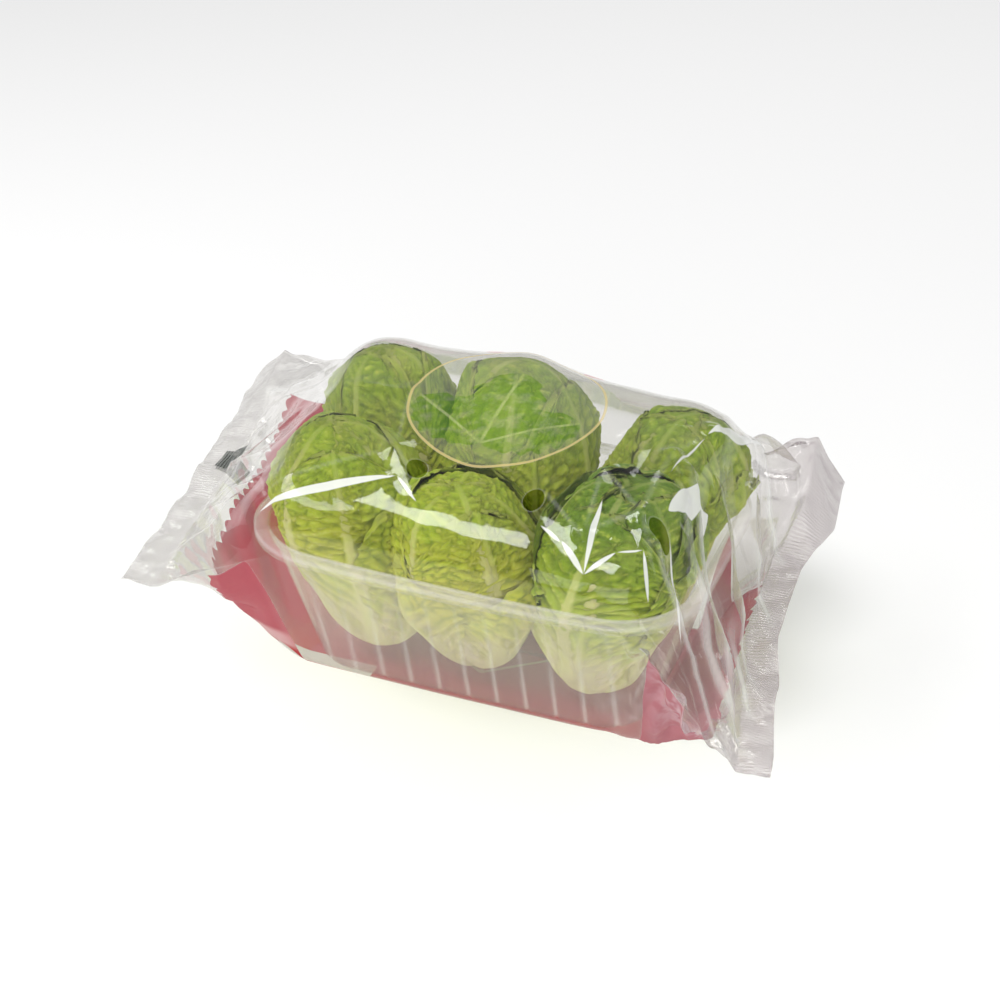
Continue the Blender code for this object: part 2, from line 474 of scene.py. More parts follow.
def build_head(head, material, walls):
    """One head: overlapping leaves round a leaning axis over a cut root."""
    rng = np.random.default_rng(head["seed"])
    sheets = [(*leaf_grid(rng, head, leaf), False) for leaf in head_leaves(rng, head)]
    around = np.linspace(0, 2 * np.pi, CORE_COLUMNS, endpoint=False)
    turn, rise = np.meshgrid(around, np.linspace(0.0, np.pi, CORE_ROWS))
    ball = joined(np.sin(rise) * np.cos(turn), np.sin(rise) * np.sin(turn), -np.cos(rise))
    core = on_egg(ball, head, CORE_SCALE)
    plain = {"vein": 0.0, "ripe": core[..., 2] / head["height"], "pocket": 0.2, "edge": 0.0}
    sheets.append((core, plain, True))
    faces = []
    count = 0
    for grid, _, closed in sheets:
        rows, columns = grid.shape[:2]
        faces += sheet_faces(rows, columns, closed, count).tolist()
        count += rows * columns
    points = np.concatenate([grid.reshape(-1, 3) for grid, _, _ in sheets])
    fields = {key: np.concatenate([np.broadcast_to(own[key], grid.shape[:2]).ravel()
                                   for grid, own, _ in sheets]) for key in plain}
    fields["tone"] = np.full(len(points), head["tone"])
    share = points[:, 2:3] / head["height"]
    foot = np.array(head["foot"])
    lean = np.array(head["top"]) - foot
    points = keep_inside(foot + points * (1.0, 1.0, 0.0) + share * lean)
    heart = foot + (0.0, 0.0, head["height"] * HEART_SHARE) + HEART_SHARE * lean * (1, 1, 0)
    points = press_in(points, heart, walls)
    return new_piece(head["name"], points, faces, material, fields)


def keep_inside(points):
    """Presses points back inside the tray walls below the rim."""
    x, y, z = points.T
    lean = np.clip((TRAY_HEIGHT - z) / TRAY_HEIGHT, 0.0, 1.0) * BASE_INSET
    clear = 0.004 + (z < TRAY_HEIGHT) * RIM_WIDTH * smooth(TRAY_HEIGHT, TRAY_HEIGHT - 0.012, z)
    free = 0.012 * smooth(TRAY_HEIGHT, TRAY_HEIGHT + 0.01, z)
    half_y = TRAY_WIDTH / 2.0 + wall_swell(x) * 0.6 - lean - clear + free
    half_x = TRAY_LENGTH / 2.0 - lean - clear + free
    return joined(soft_clamp(x, half_x), soft_clamp(y, half_y), z)


def soft_clamp(value, limit):
    """Squeezes values that pass a limit, easing in over the last few millimetres."""
    ease = 0.006
    over = np.maximum(np.abs(value) - (limit - ease), 0.0)
    return np.sign(value) * (np.minimum(np.abs(value), limit - ease) + ease * (1.0 - np.exp(-over / ease)))


def leaf_finish():
    """Waxy leaf: cream at the root, paler ribs and veins, painted shade in the hollows and creases, painted
    yellow-green highlight on the blisters.
    """
    finish = finish_for("little_gem_leaf")
    vein = finish.attribute("vein")
    ripe = finish.attribute("ripe")
    pocket = finish.attribute("pocket")
    cloud = finish.noise(34.0, 3.0)
    speckle = finish.noise(520.0, 2.0)
    level = ripe + (cloud - 0.5) * 0.3
    tone = finish.attribute("tone")
    pale = finish.blend(tone, (222, 218, 62), (178, 202, 40))
    deep = finish.blend(tone, (186, 210, 43), (80, 130, 12))
    green = finish.blend(level.rise(0.4, 1.02), pale, deep)
    # painted shade in the hollows between blisters and veins, and painted highlight on the blisters' tops
    hollow_shade = finish.blend(tone, (122, 154, 16), (62, 106, 8))
    green = finish.blend(pocket.rise(0.6, 0.1) * 0.55, green, hollow_shade)
    green = finish.blend(pocket.rise(0.55, 1.0) * 0.62, green, (222, 232, 96))
    # painted shade: darker green lines in fine creases over the upper leaves, which the bump also grooves
    shaded_creases = abs(finish.noise(90.0, 3.0, 0.6) - 0.5).rise(0.045, 0.0)
    green = finish.blend(shaded_creases * level.rise(0.55, 0.95) * 0.16, green, (92, 134, 14))
    green = finish.blend(cloud.rise(0.5, 0.72) * 0.4, green, (206, 220, 96))
    streak = finish.noise(150.0, 2.0, 0.5, (1.0, 1.0, 0.12))
    root = finish.blend(streak.rise(0.4, 0.62), (235, 228, 168), (206, 206, 112))
    green = finish.blend(level.rise(0.5, 0.16), green, root)
    shade = finish.blend(vein.rise(0.1, 0.9) * 0.8, green, (226, 226, 148))
    network = finish.add("TexVoronoi", {"feature": "DISTANCE_TO_EDGE"}, {"Scale": 250.0},
                         output="Distance")
    threads = network.rise(0.09, 0.0) * level.rise(0.3, 0.55)
    shade = finish.blend(threads * 0.34, shade, (214, 222, 122))
    shade = finish.blend(finish.attribute("edge").rise(0.9, 1.0) * 0.35, shade, (206, 214, 112))
    relief = network.rise(0.0, 0.4) + speckle * 0.2 - shaded_creases * level.rise(0.4, 0.9) * 1.2
    normal = finish.bump(relief, 0.0007, 0.6)
    inputs = {"Base Color": shade, "Roughness": 0.46, "Normal": normal, "Specular IOR Level": 0.35,
              "Subsurface Weight": 0.3, "Subsurface Radius": (0.6, 1.0, 0.2), "Subsurface Scale": 0.004}
    return finish.done(finish.add("BsdfPrincipled", None, inputs))


# reach is an outer leaf's, in degrees; tone is the depth of green; loose lists the loose outer
# leaves by turn, reach and half width in degrees.
HEAD_KEYS = ("name", "foot", "top", "radius", "height", "seed", "turn", "open", "reach", "tone", "loose")
HEADS = (
    ("lettuce_left_front", (-0.049, -0.018), (-0.071, -0.02), 0.034, 0.114, 11, 0.4, 0.25, 150, 0.42,
     ((66, 112, 46),)),
    ("lettuce_middle_front", (-0.003, -0.018), (-0.009, -0.03), 0.0325, 0.103, 23, 0.0, 0.45, 138, 0.22,
     ((-48, 104, 56), (70, 96, 50))),
    ("lettuce_right_front", (0.049, -0.017), (0.062, -0.018), 0.035, 0.114, 37, 1.2, 0.7, 128, 0.95,
     ((-8, 84, 58), (95, 118, 54))),
    ("lettuce_left_back", (-0.049, 0.021), (-0.078, 0.052), 0.0335, 0.116, 45, 2.2, 0.15, 152, 0.55, ()),
    ("lettuce_middle_back", (0.0, 0.021), (-0.014, 0.056), 0.034, 0.119, 59, 0.9, 0.45, 138, 0.6,
     ((30, 118, 54),)),
    ("lettuce_right_back", (0.05, 0.021), (0.068, 0.052), 0.033, 0.111, 66, 1.9, 0.3, 146, 0.58,
     ((80, 122, 52),)),
)
# Balls in a head that the film rests on: share up the head, size against its radius.
HEAD_BALLS = ((0.66, 0.92), (0.76, 0.86))
FILM_LIFTS = (
    # loose film standing up towards the fins' back corners: place, height, radius
    ((-0.118, 0.064), 0.008, 0.026), ((0.1, 0.06), 0.008, 0.024),
)


def build_heads(walls):
    material = leaf_finish()
    for row in HEADS:
        head = dict(zip(HEAD_KEYS, row))
        head["foot"] = (*head["foot"], FRONT_FOOT if head["foot"][1] < 0.0 else BACK_FOOT)
        head["top"] = (*head["top"], head["height"])
        build_head(head, material, walls)


# ---- tray ----
def wall_swell(x):
    """Outward bow of the long walls, largest at mid length."""
    along = np.minimum(np.abs(x) / (TRAY_LENGTH / 2.0), 1.0)
    return SIDE_BOW * (1.0 - along * along)


def tray_outline(inset, steps=720):
    """Plan outline of the tray at an inset from the rim, in even steps."""
    half_x = TRAY_LENGTH / 2.0 - FILM_GAP - inset
    half_y = TRAY_WIDTH / 2.0 - FILM_GAP - inset
    radius = max(CORNER_RADIUS - inset * 0.6, 0.008)
    side_x = half_x - radius
    side_y = half_y - radius
    quarter = math.pi * radius / 2.0
    marks = np.cumsum((0.0,) + (2 * side_y, quarter, 2 * side_x, quarter) * 2)
    travel = np.linspace(0.0, marks[-1], steps, endpoint=False)
    points = np.zeros((steps, 2))
    stretches = (
        # a straight stretch's start and direction, then the middle of the corner after it
        (half_x, -side_y, 0, 1), (side_x, side_y, 0, 0),
        (side_x, half_y, -1, 0), (-side_x, side_y, 0, 0),
        (-half_x, side_y, 0, -1), (-side_x, -side_y, 0, 0),
        (-side_x, -half_y, 1, 0), (side_x, -side_y, 0, 0),
    )
    for index, (x, y, along_x, along_y) in enumerate(stretches):
        here = (travel >= marks[index]) & (travel < marks[index + 1])
        run = travel[here] - marks[index]
        if index % 2 == 0:
            points[here] = joined(x + along_x * run, y + along_y * run)
        else:
            turn = (index // 2) * math.pi / 2.0 + run / radius
            points[here] = joined(x + radius * np.cos(turn), y + radius * np.sin(turn))
    points[:, 1] += np.sign(points[:, 1]) * wall_swell(points[:, 0]) * (1.0 - inset / BASE_INSET * 0.7)
    return points


RIM_PROFILE = metres((
    # how far in from the rim's edge and down from its top
    (0, 3.6), (0, 0.6), (0.6, 0), (4.7, 0), (5.5, 0.8), (5.9, 5), (7.1, 6.2),
))
FLOOR_PROFILE = metres((
    # how far in from the base's edge and up from the table
    (-0.6, 4.2), (0.6, 2.4), (2.4, 1.4), (6, 1.1), (12, 1.1), (19, 1.1), (27, 1.1), (34.5, 1.1),
))


def tray_rings():
    """Inset and height of each ring, from the rim's skirt inwards and down to the floor."""
    rings = [(inset, TRAY_HEIGHT - drop) for inset, drop in RIM_PROFILE]
    for share in np.linspace(0.0, 1.0, 14):
        rings.append((mix(RIM_WIDTH + 0.0018, BASE_INSET - 0.0012, share),
                      mix(TRAY_HEIGHT - 0.007, 0.0065, share)))
    return rings + [(BASE_INSET + inset, height) for inset, height in FLOOR_PROFILE]


def build_tray():
    """Thin tapered tray with fluted walls and a turned-down rim."""
    grid = []
    rib_shares = []
    for inset, height in tray_rings():
        outline = tray_outline(inset)
        wall = smooth(0.0075, 0.012, inset) * (1.0 - smooth(BASE_INSET - 0.001, BASE_INSET + 0.004, inset))
        outward = np.roll(outline, -1, axis=0) - np.roll(outline, 1, axis=0)
        outward = unit(joined(outward[:, 1], -outward[:, 0]))
        side_run = np.where(np.abs(outward[:, 1]) > np.abs(outward[:, 0]), outline[:, 0], outline[:, 1])
        phase = side_run / RIB_PITCH
        off_flute = (phase - np.round(phase)) * RIB_PITCH
        flute = np.exp(-(off_flute / RIB_HALF_WIDTH) ** 2)
        outline = outline - outward * (flute * RIB_DEPTH * wall)[:, None]
        grid.append(joined(*outline.T, height))
        rib_shares.append(np.clip(flute * wall, 0.0, 1.0))
    grid = np.array(grid)
    rows, columns, _ = grid.shape
    points = np.concatenate([grid.reshape(-1, 3), [grid[-1].mean(axis=0)]])
    ring = np.arange(columns) + (rows - 1) * columns
    fan = joined(ring, np.roll(ring, -1), len(points) - 1)
    faces = sheet_faces(rows, columns, closed=True).tolist() + fan.tolist()
    ribs = {"rib": np.append(np.array(rib_shares).ravel(), 0.0)}
    tray = new_piece("ribbed_tray", points, faces, tray_finish(), ribs)
    shell = tray.modifiers.new("wall", "SOLIDIFY")
    shell.thickness = TRAY_WALL
    shell.offset = 0.0
    let_light_through(tray)
    return tray


def tray_finish():
    """Milky see-through polypropylene, a little streaky from the mould, with painted light: darker and rosier
    towards the floor for red bounce from the printed base, paler on the ribs and lip for highlights.
    """
    finish = finish_for("milky_tray_plastic")
    _, _, z = finish.place()
    rib = finish.attribute("rib")
    streaks = finish.noise(30.0, 3.0, 0.5, (9.0, 9.0, 0.6))
    cloud = finish.noise(24.0, 2.0)
    # painted light: darker, denser and rosier towards the floor, standing for red light bounced from the
    # printed base
    low = z.rise(0.052, 0.006)
    lip_highlight = abs(z - (TRAY_HEIGHT - 0.001)).rise(0.0016, 0.0004)
    share = 0.015 + streaks * 0.06 + cloud * 0.03 + finish.facing() ** 2.5 * 0.26
    share = share + low * 0.14 + rib * 0.03 + lip_highlight * 0.14
    shade = finish.blend(low, (232, 226, 208), (164, 118, 120))
    # painted highlights: paler, denser lines along the ribs and the lip under the rim
    shade = finish.blend(rib.most(lip_highlight), shade, (244, 240, 236))
    normal = finish.bump(streaks, 0.0008, 0.25)
    plastic = finish.add("BsdfPrincipled", None, {
        "Base Color": shade, "Roughness": 0.2, "Normal": normal})
    return finish.done(finish.mix_shaders(share.least(0.9), finish.add("BsdfTransparent"), plastic))


# ---- film ----
def underside_profile(x):
    """Half of the film's lower profile, from the middle of the base up to the rim."""
    rim_y = TRAY_WIDTH / 2.0 + wall_swell(x)
    base_y = TRAY_WIDTH / 2.0 - BASE_INSET + wall_swell(x) * 0.3
    angle = math.atan2(TRAY_HEIGHT, rim_y - base_y)
    setback = BASE_EDGE * math.tan(angle / 2.0)
    turn = np.linspace(0.0, angle, 9)
    corner = joined(base_y - setback + BASE_EDGE * np.sin(turn), BASE_EDGE * (1 - np.cos(turn)))
    return np.concatenate([[(0.0, 0.0)], corner, [(rim_y, TRAY_HEIGHT)]])


def crown_profile(x):
    """Half of the film's upper profile, from the middle of the top down to the rim."""
    rim_y = TRAY_WIDTH / 2.0 + wall_swell(x)
    crown = CROWN_HEIGHT - CROWN_END_DROP * (abs(x) / CONE_START) ** 3
    controls = np.array([(0.0, crown), (CROWN_SHOULDER, crown),
                         (rim_y + 0.001, mix(TRAY_HEIGHT, crown, CROWN_SIDE_RISE)), (rim_y, TRAY_HEIGHT)])
    t = np.linspace(0.0, 1.0, 60)[:, None]
    weights = np.concatenate([(1 - t) ** 3, 3 * t * (1 - t) ** 2, 3 * t * t * (1 - t), t ** 3], axis=1)
    return weights @ controls


ACROSS = np.linspace(-1.0, 1.0, COLUMNS)


def body_ring(x):
    """Film points round the pack at x: lower layer front to back, upper layer back to front."""
    lower = along_polyline(underside_profile(x), np.abs(ACROSS))
    upper = along_polyline(crown_profile(x), np.abs(ACROSS))
    sign = np.where(ACROSS < 0, -1.0, 1.0)
    lower = joined(x, lower[:, 0] * sign, lower[:, 1])
    upper = joined(x, upper[:, 0] * sign, upper[:, 1] + FIN_GAP / 2)
    return np.concatenate([lower, upper[::-1]])


def through(knots, value):
    """A line through knots, easing from each one to the next."""
    places, levels = np.array(knots).T
    index = np.clip(np.searchsorted(places, value) - 1, 0, len(places) - 2)
    share = (value - places[index]) / (places[index + 1] - places[index])
    return mix(levels[index], levels[index + 1], mix(share, smooth(0.0, 1.0, share), FIN_EASING))


def fin_ring(fin, distance):
    """Flat crimped fin at a distance out from its inner edge."""
    out = distance / FIN_LENGTH
    x = fin["side"] * (through(fin["edge"], ACROSS) - FIN_LENGTH + distance)
    y = FIN_MIDDLE + FILM_HALF_WIDTH * ACROSS
    z = through(fin["rise"], ACROSS) + fin["droop"] * smooth(DROOP_START, 1.0, ACROSS) * (1.0 - out)
    return np.concatenate([joined(x, y, z - FIN_GAP / 2), joined(x, y, z + FIN_GAP / 2)[::-1]])


def cone_ring(fin, share):
    """Film points at a share of the way from the tray's end to the fin."""
    inner = body_ring(fin["side"] * CONE_START)
    outer = fin_ring(fin, 0.0)
    eased = mix(share, float(smooth(0.0, 1.0, share)), CONE_EASING)
    ring = mix(inner, outer, np.array([share, eased, eased]))
    hang = math.sin(math.pi * share) * np.sin(math.pi * np.clip((ACROSS + 1.0) / SAG_WIDTH, 0.0, 1.0))
    ring[:COLUMNS, 2] = np.maximum(ring[:COLUMNS, 2] - fin["sag"] * hang, 0.0)
    return ring


def end_rings(fin):
    """Rings from the tray's end to a fin's outer edge, each with its stage from 0 to 2."""
    cone = [step / CONE_ROWS for step in range(1, CONE_ROWS + 1)]
    flat = [step / FIN_ROWS for step in range(1, FIN_ROWS + 1)]
    return ([(cone_ring(fin, share), share) for share in cone]
            + [(fin_ring(fin, FIN_LENGTH * share), 1.0 + share) for share in flat])


def film_rings():
    """All film rings from left to right, with their stages, which are negative on the left."""
    left = [(ring, -stage) for ring, stage in reversed(end_rings(LEFT_FIN))]
    body = [(body_ring(float(x)), 0.0) for x in np.linspace(-CONE_START, CONE_START, BODY_ROWS)]
    rings, stages = zip(*left, *body, *end_rings(RIGHT_FIN))
    return np.array(rings), np.array(stages)


def fill_in(values, rows, columns, row_count, column_count):
    """Straight-line filling of a full grid from values at chosen rows and columns."""
    tall = np.stack([np.interp(np.arange(row_count), rows, line) for line in values.T], axis=1)
    return np.stack([np.interp(np.arange(column_count), columns, line) for line in tall])


def stand_off(points, normal):
    """How far each point has to move along its normal to clear every head."""
    need = np.zeros(points.shape[:-1])
    for _, foot, top, radius, height, *_ in HEADS:
        foot = np.array((*foot, 0.0))
        top = np.array((*top, height))
        for share, girth in HEAD_BALLS:
            reach = radius * girth
            to_centre = mix(foot, top, share) - points
            along = np.sum(to_centre * normal, axis=-1)
            aside = np.sum(to_centre * to_centre, axis=-1) - along ** 2
            exit_run = along + np.sqrt(np.clip(reach ** 2 - aside, 0.0, None))
            need = np.maximum(need, np.where(aside < reach ** 2, exit_run, 0.0))
    for (px, py), height, radius in FILM_LIFTS:
        away = np.hypot(points[..., 0] - px, points[..., 1] - py)
        need = np.maximum(need, height * np.exp(-(away / radius) ** 2))
    return need * smooth(TRAY_HEIGHT, TRAY_HEIGHT + 0.008, points[..., 2])


def calmed(values):
    """Each inner value of a grid replaced by the mean of its four neighbours."""
    return 0.25 * (values[2:, 1:-1] + values[:-2, 1:-1] + values[1:-1, 2:] + values[1:-1, :-2])


def press_out(points, rounds=700):
    """Stretches the film over the heads, taut and straight between the places that touch."""
    normal = grid_normals(points, closed=True)
    upper = slice(COLUMNS, 2 * COLUMNS)
    rows = np.unique(np.linspace(0, points.shape[0] - 1, 73).astype(int))
    columns = np.unique(np.linspace(0, COLUMNS - 1, 48).astype(int))
    least = stand_off(points[:, upper], normal[:, upper])[np.ix_(rows, columns)]
    raised = least.copy()
    for _ in range(rounds):
        raised[1:-1, 1:-1] = np.maximum(calmed(raised), least[1:-1, 1:-1])
    raised = fill_in(raised, rows, columns, points.shape[0], COLUMNS)
    for _ in range(14):
        raised[1:-1, 1:-1] = calmed(raised)
    pulled = points.copy()
    pulled[:, upper] += normal[:, upper] * raised[..., None]
    return pulled


# Waves of the crumple: number in a metre, direction, phase.
FACET_WAVES = ((31, 0.1, 0.4), (47, 0.75, 0.1), (39, 1.45, 0.7),
               (61, 2.3, 0.3), (83, 0.4, 0.9), (97, 1.9, 0.2))


def facets(x, y, seed):
    """Faceted crumple of a stiff sheet: straight folds in several directions."""
    warp = 0.006 * soft_noise(x * 28, y * 28, seed=seed)
    total = 0.0
    for count, direction, phase in FACET_WAVES:
        run = (x * math.cos(direction) + y * math.sin(direction) + warp) * count + phase + seed
        total = total + ridge_wave(run) / count
    return total


FOLDS = metres((
    # creases over the top in millimetres: from, to, height, half width
    ((-94, -60), (-33, -36), 1, 12), ((-33, -36), (-21, -46), 1.6, 8), ((32, -40), (54, -54), 1.8, 9),
    ((54, -51), (51, -19), 1.6, 6), ((54, -51), (72, -37), 1.6, 6), ((72, -37), (72, 0), 1.8, 7),
    ((49, -19), (72, -37), -1.2, 6), ((72, -37), (82, -53), 1.4, 5), ((72, 0), (99, -47), 1.8, 7),
    ((72, 0), (80, 33), 1.5, 6), ((80, 33), (100, 66), 1.8, 7), ((-33, -35), (-45, 6), 1, 8),
    ((-70, 10), (-45, 6), 0.9, 8), ((10, -30), (22, 30), 0.7, 10),
))
END_FOLDS = metres((
    # long pleats from the tray's ends to the fins, in the same way
    ((80, -2), (122, -64), 2.8, 3.4), ((90, 14), (124, -36), 2.2, 4), ((86, -30), (132, -70), 2.6, 3.4),
    ((97, 34), (120, 0), 2.4, 4), ((80, -44), (128, -78), 1.8, 3.6), ((92, 60), (114, 36), 2, 5),
    ((104, -10), (126, -50), -1.6, 4), ((-98, -40), (-138, -66), 1.8, 5), ((-104, 8), (-146, -4), 1.8, 6),
    ((-100, 40), (-148, 66), 2, 6), ((-106, -20), (-140, -30), 1.4, 4.5),
))
PINCHES = metres((
    # points the film is drawn up to, or down to, in millimetres: place, height, radius
    ((-33, -36), 2.4, 30), ((-20, -46), -1, 14), ((54, -53), -2.2, 22), ((72, -36), 1.8, 18),
    ((74, 2), 2.2, 24), ((82, 34), 1.8, 22),
))


def pinches(x, y):
    """Cone-shaped rises and dips at the pinched points."""
    total = 0.0
    for (px, py), height, radius in PINCHES:
        total = total + height * np.clip(1.0 - np.hypot(x - px, y - py) / radius, 0.0, 1.0)
    return total


def by_fold(x, y, start, end):
    """Share along a straight fold, and distance off it."""
    (ax, ay), (bx, by) = start, end
    length = math.hypot(bx - ax, by - ay)
    along = np.clip(((x - ax) * (bx - ax) + (y - ay) * (by - ay)) / length ** 2, 0.0, 1.0)
    return along, np.hypot(x - mix(ax, bx, along), y - mix(ay, by, along))


def tents(x, y, folds):
    """Straight creases with sloping sides, rounded off past their ends."""
    total = 0.0
    for start, end, height, width in folds:
        off = by_fold(x, y, start, end)[1]
        total = total + height * np.clip(1.0 - off / width, 0.0, 1.0)
    return total


def crease_marks(x, y, folds, width):
    """1 along the crest of each fold, fading to its sides and ends: where a painted highlight goes."""
    total = 0.0
    for start, end, *_ in folds:
        along, off = by_fold(x, y, start, end)
        swell = (4.0 * along * (1.0 - along)) ** 0.5
        total = np.maximum(total, np.clip(1.3 - off / width, 0.0, 1.0) * swell)
    return total


def film_moves(rings, stage, across, top):
    """How far each film point stands off its resting place, and the fins' own ripple."""
    x, y, z = rings.transpose(2, 0, 1)
    outer = np.abs(stage)[:, None] + 0.0 * y
    turn = np.where(stage > 0, 0.55, -0.25)[:, None]
    drift = 0.1 * soft_noise(x * 30, across * 3.0, seed=21)
    run = across + turn * outer + drift
    pleats = ridge_wave(run * 2.2 + 0.31 * top + 0.2)
    pleats = pleats + 0.55 * ridge_wave(run * 4.1 - outer * 0.7 + 0.45 * top)
    pleats = pleats * np.where(stage > 0, 1.0, 0.35)[:, None]
    swell = smooth(0.05, 0.45, outer) * (1.0 - smooth(0.8, 1.0, outer))
    crumple = facets(x * 0.6, y * 0.55 + 0.31 * top, 3.0)
    wall = (1.0 - top) * (1.0 - smooth(0.0, 0.2, outer))
    calm = 0.045 + 0.3 * smooth(0.12, 0.7, outer)
    lift = crumple * 0.085 * calm * (1.0 - 0.8 * wall) + 0.003 * pleats * swell
    over = top * (z > TRAY_HEIGHT) * (1.0 - smooth(0.45, 0.8, outer))
    lift = lift + (tents(x, y, FOLDS) + pinches(x, y)) * over + tents(x, y, END_FOLDS) * top
    corner = np.exp(-((x - 0.094) ** 2 + (y + 0.056) ** 2) / 0.024 ** 2)
    lift = lift + facets(x * 1.2, y * 1.2 + z, 5.0) * 0.08 * corner * (1.0 - 0.85 * top)
    lift = lift * (1.0 - smooth(0.8, 1.0, outer))
    ripple = facets(x * 1.2, y * 1.2, 8.0) * 0.022 + 0.0009 * ridge_wave(y * 33 + x * 9)
    return lift, ripple * smooth(0.7, 1.0, outer)


def film_points():
    """The finished film surface, with its layer, painted crest highlight and stage fields."""
    rings, stage = film_rings()
    rings = press_out(rings)
    across = np.tile(np.concatenate([ACROSS, ACROSS[::-1]]), (len(rings), 1))
    top = np.tile(np.repeat([0.0, 1.0], COLUMNS), (len(rings), 1))
    lift, ripple = film_moves(rings, stage, across, top)
    moved = rings + grid_normals(rings, closed=True) * lift[..., None]
    moved[..., 2] += ripple
    moved[..., 2] = np.maximum(moved[..., 2], 0.0002)
    x, y, _ = rings.transpose(2, 0, 1)
    # painted highlights: white marks along the crests of the folds, strongest on the end pleats
    crest_glints = (crease_marks(x, y, END_FOLDS, 0.0017) + 0.3 * crease_marks(x, y, FOLDS, 0.001)) * top
    fields = {"upper": top, "crest_glint": crest_glints, "stage": np.abs(stage)[:, None] + 0.0 * across}
    return moved, fields


def build_film():
    """Film sleeve round the pack, folded and crumpled, with flat crimped fins."""
    moved, fields = film_points()
    faces = sheet_faces(*moved.shape[:2], closed=True).tolist()
    film = new_piece("film_wrap", moved, faces, film_finish(), fields)
    let_light_through(film)
    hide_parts("sealed_pack")
    return film


def oval(x, y, centre, size):
    """Distance from the middle of an oval, 1 on its rim."""
    return (((x - centre[0]) / size[0]) ** 2.0 + ((y - centre[1]) / size[1]) ** 2.0) ** 0.5


def plate(x, y, sides, soft):
    """1 inside a rectangle given by its left, right, front and back."""
    left, right, front, back = sides
    return (x.rise(left, left + soft) * x.rise(right, right - soft)
            * y.rise(front, front + soft) * y.rise(back, back - soft))


def by_line(x, y, start, turn, length):
    """Share along a line in the film's plan, and distance off it."""
    along = ((x - start[0]) * math.cos(turn) + (y - start[1]) * math.sin(turn)) / length
    return along, abs((y - start[1]) * math.cos(turn) - (x - start[0]) * math.sin(turn))


def printed_leaf(x, y, turn, length, width):
    """1 inside a pointed leaf shape and 0 outside, with its middle line."""
    along, aside = by_line(x, y, SPRIG_ROOT, math.radians(turn), length)
    frill = (along * 34.0 + aside * 260.0).wave() * 0.1 + 1.0
    inside = (along * (1.0 - along)).most(0.0) ** 0.6 * (width * 2.3) * frill - aside
    return inside.rise(0.0, 0.0008), aside.rise(0.001, 0.0004)


def painted_glare_streak(x, y, start, end, width):
    """1 inside a thin lens from start to end: one streak of painted glare."""
    run = (end[0] - start[0], end[1] - start[1])
    along, aside = by_line(x, y, start, math.atan2(run[1], run[0]), math.hypot(*run))
    return ((along * (1.0 - along)).most(0.0) ** 0.7 * (width * 2.7) - aside).rise(0.0, 0.0004)


def together(masks):
    """The larger of several masks at each point."""
    whole = masks[0]
    for mask in masks[1:]:
        whole = whole.most(mask)
    return whole


SPRIG = (
    # leaves printed on top: turn in degrees, length, width
    (146, 0.043, 0.015), (92, 0.056, 0.0165), (38, 0.043, 0.015),
)
PAINTED_GLARE_STREAKS = metres((
    # painted highlights: bright streaks of glare on top, beside the mesh's folds, in millimetres: from, to,
    # half width
    ((-84, -62.5), (-28, -47.8), 1.8), ((-28, -47.8), (-16, -55.4), 0.8), ((36, -53.5), (46, -57), 0.8),
    ((46, -56.5), (58, -63.7), 1.2), ((58, -63.7), (56, -36.7), 1.3), ((58, -63.7), (68, -54.2), 1.1),
    ((68, -54.2), (78, -50.6), 0.6), ((78, -50.6), (84, -61), 1), ((84, -36.3), (98, -60), 0.8),
    ((76, -12.5), (80, 25.4), 0.6), ((80, 27), (97, 62), 2.2), ((81, -29), (90, -2), 3),
))
VENTS = ((-0.021, -0.043), (0.03, -0.045), (0.081, -0.04))
VENT_RADIUS = 0.0043
PANEL = (-0.0905, -0.0465, -0.042, -0.032)  # left, right, front and back of the pale label
MARK = (-0.1455, -0.134, 0.0115, 0.0245)  # and of the grey block on the left fin
BADGE = ((-0.003, 0.012), (0.041, 0.046))  # middle and half sizes of the printed oval
DOTS = (((0.02, 0.056), (0.0052, 0.0028)), ((-0.026, 0.0565), (0.0046, 0.0026)))
SPRIG_ROOT = (-0.003, -0.02)
SCALLOP_WAVE = 0.0105  # run of two scallops of the red field's ends, and their depth
SCALLOP_DEPTH = 0.0018
STRIPE_PITCH = 0.0014  # of the grey block's stripes and of the fins' crimps
CRIMP_PITCH = 0.0013


def red_field(x, y, stage):
    """1 where the film's lower layer is printed red: under the tray and up both ends."""
    scallop = abs((y * (2 * math.pi / SCALLOP_WAVE)).wave()) * SCALLOP_DEPTH
    left_edge = x + (y - 0.06) * 0.06 - y.rise(-0.02, -0.06) * 0.02
    left_end = (left_edge + scallop).rise(-0.1335, -0.1331)
    right_end = (x - scallop).rise(0.1075, 0.1071)
    reach = stage.rise(0.02, 0.24) * 0.027 + 0.042
    reach = reach - x.rise(0.078, 0.1) * y.rise(-0.02, 0.02) * 0.046
    return left_end * right_end * (abs(y) - reach).rise(0.0006, 0.0)


def red_ink(finish, x, y, z, fine):
    """The red field's colour: deep on the left, bleached by wrinkles at the right front corner."""
    left_front = x.rise(-0.07, -0.088) * y.rise(-0.015, -0.035)
    rosy = z.rise(0.036, 0.016).most(y.rise(-0.034, -0.048)) * x.rise(0.05, 0.085)
    corner = x.rise(0.078, 0.1) * y.rise(-0.03, -0.055) * fine.rise(0.35, 0.62)
    ink = (170, 28, 50)
    for share, tint in ((left_front, (176, 20, 28)), (left_front * z.rise(0.006, 0.011), (214, 168, 170)),
                        (left_front * z.rise(0.015, 0.021), (180, 88, 98)), (rosy * 0.85, (178, 120, 128)),
                        (corner * 0.55, (214, 190, 196))):
        ink = finish.blend(share, ink, tint)
    return ink


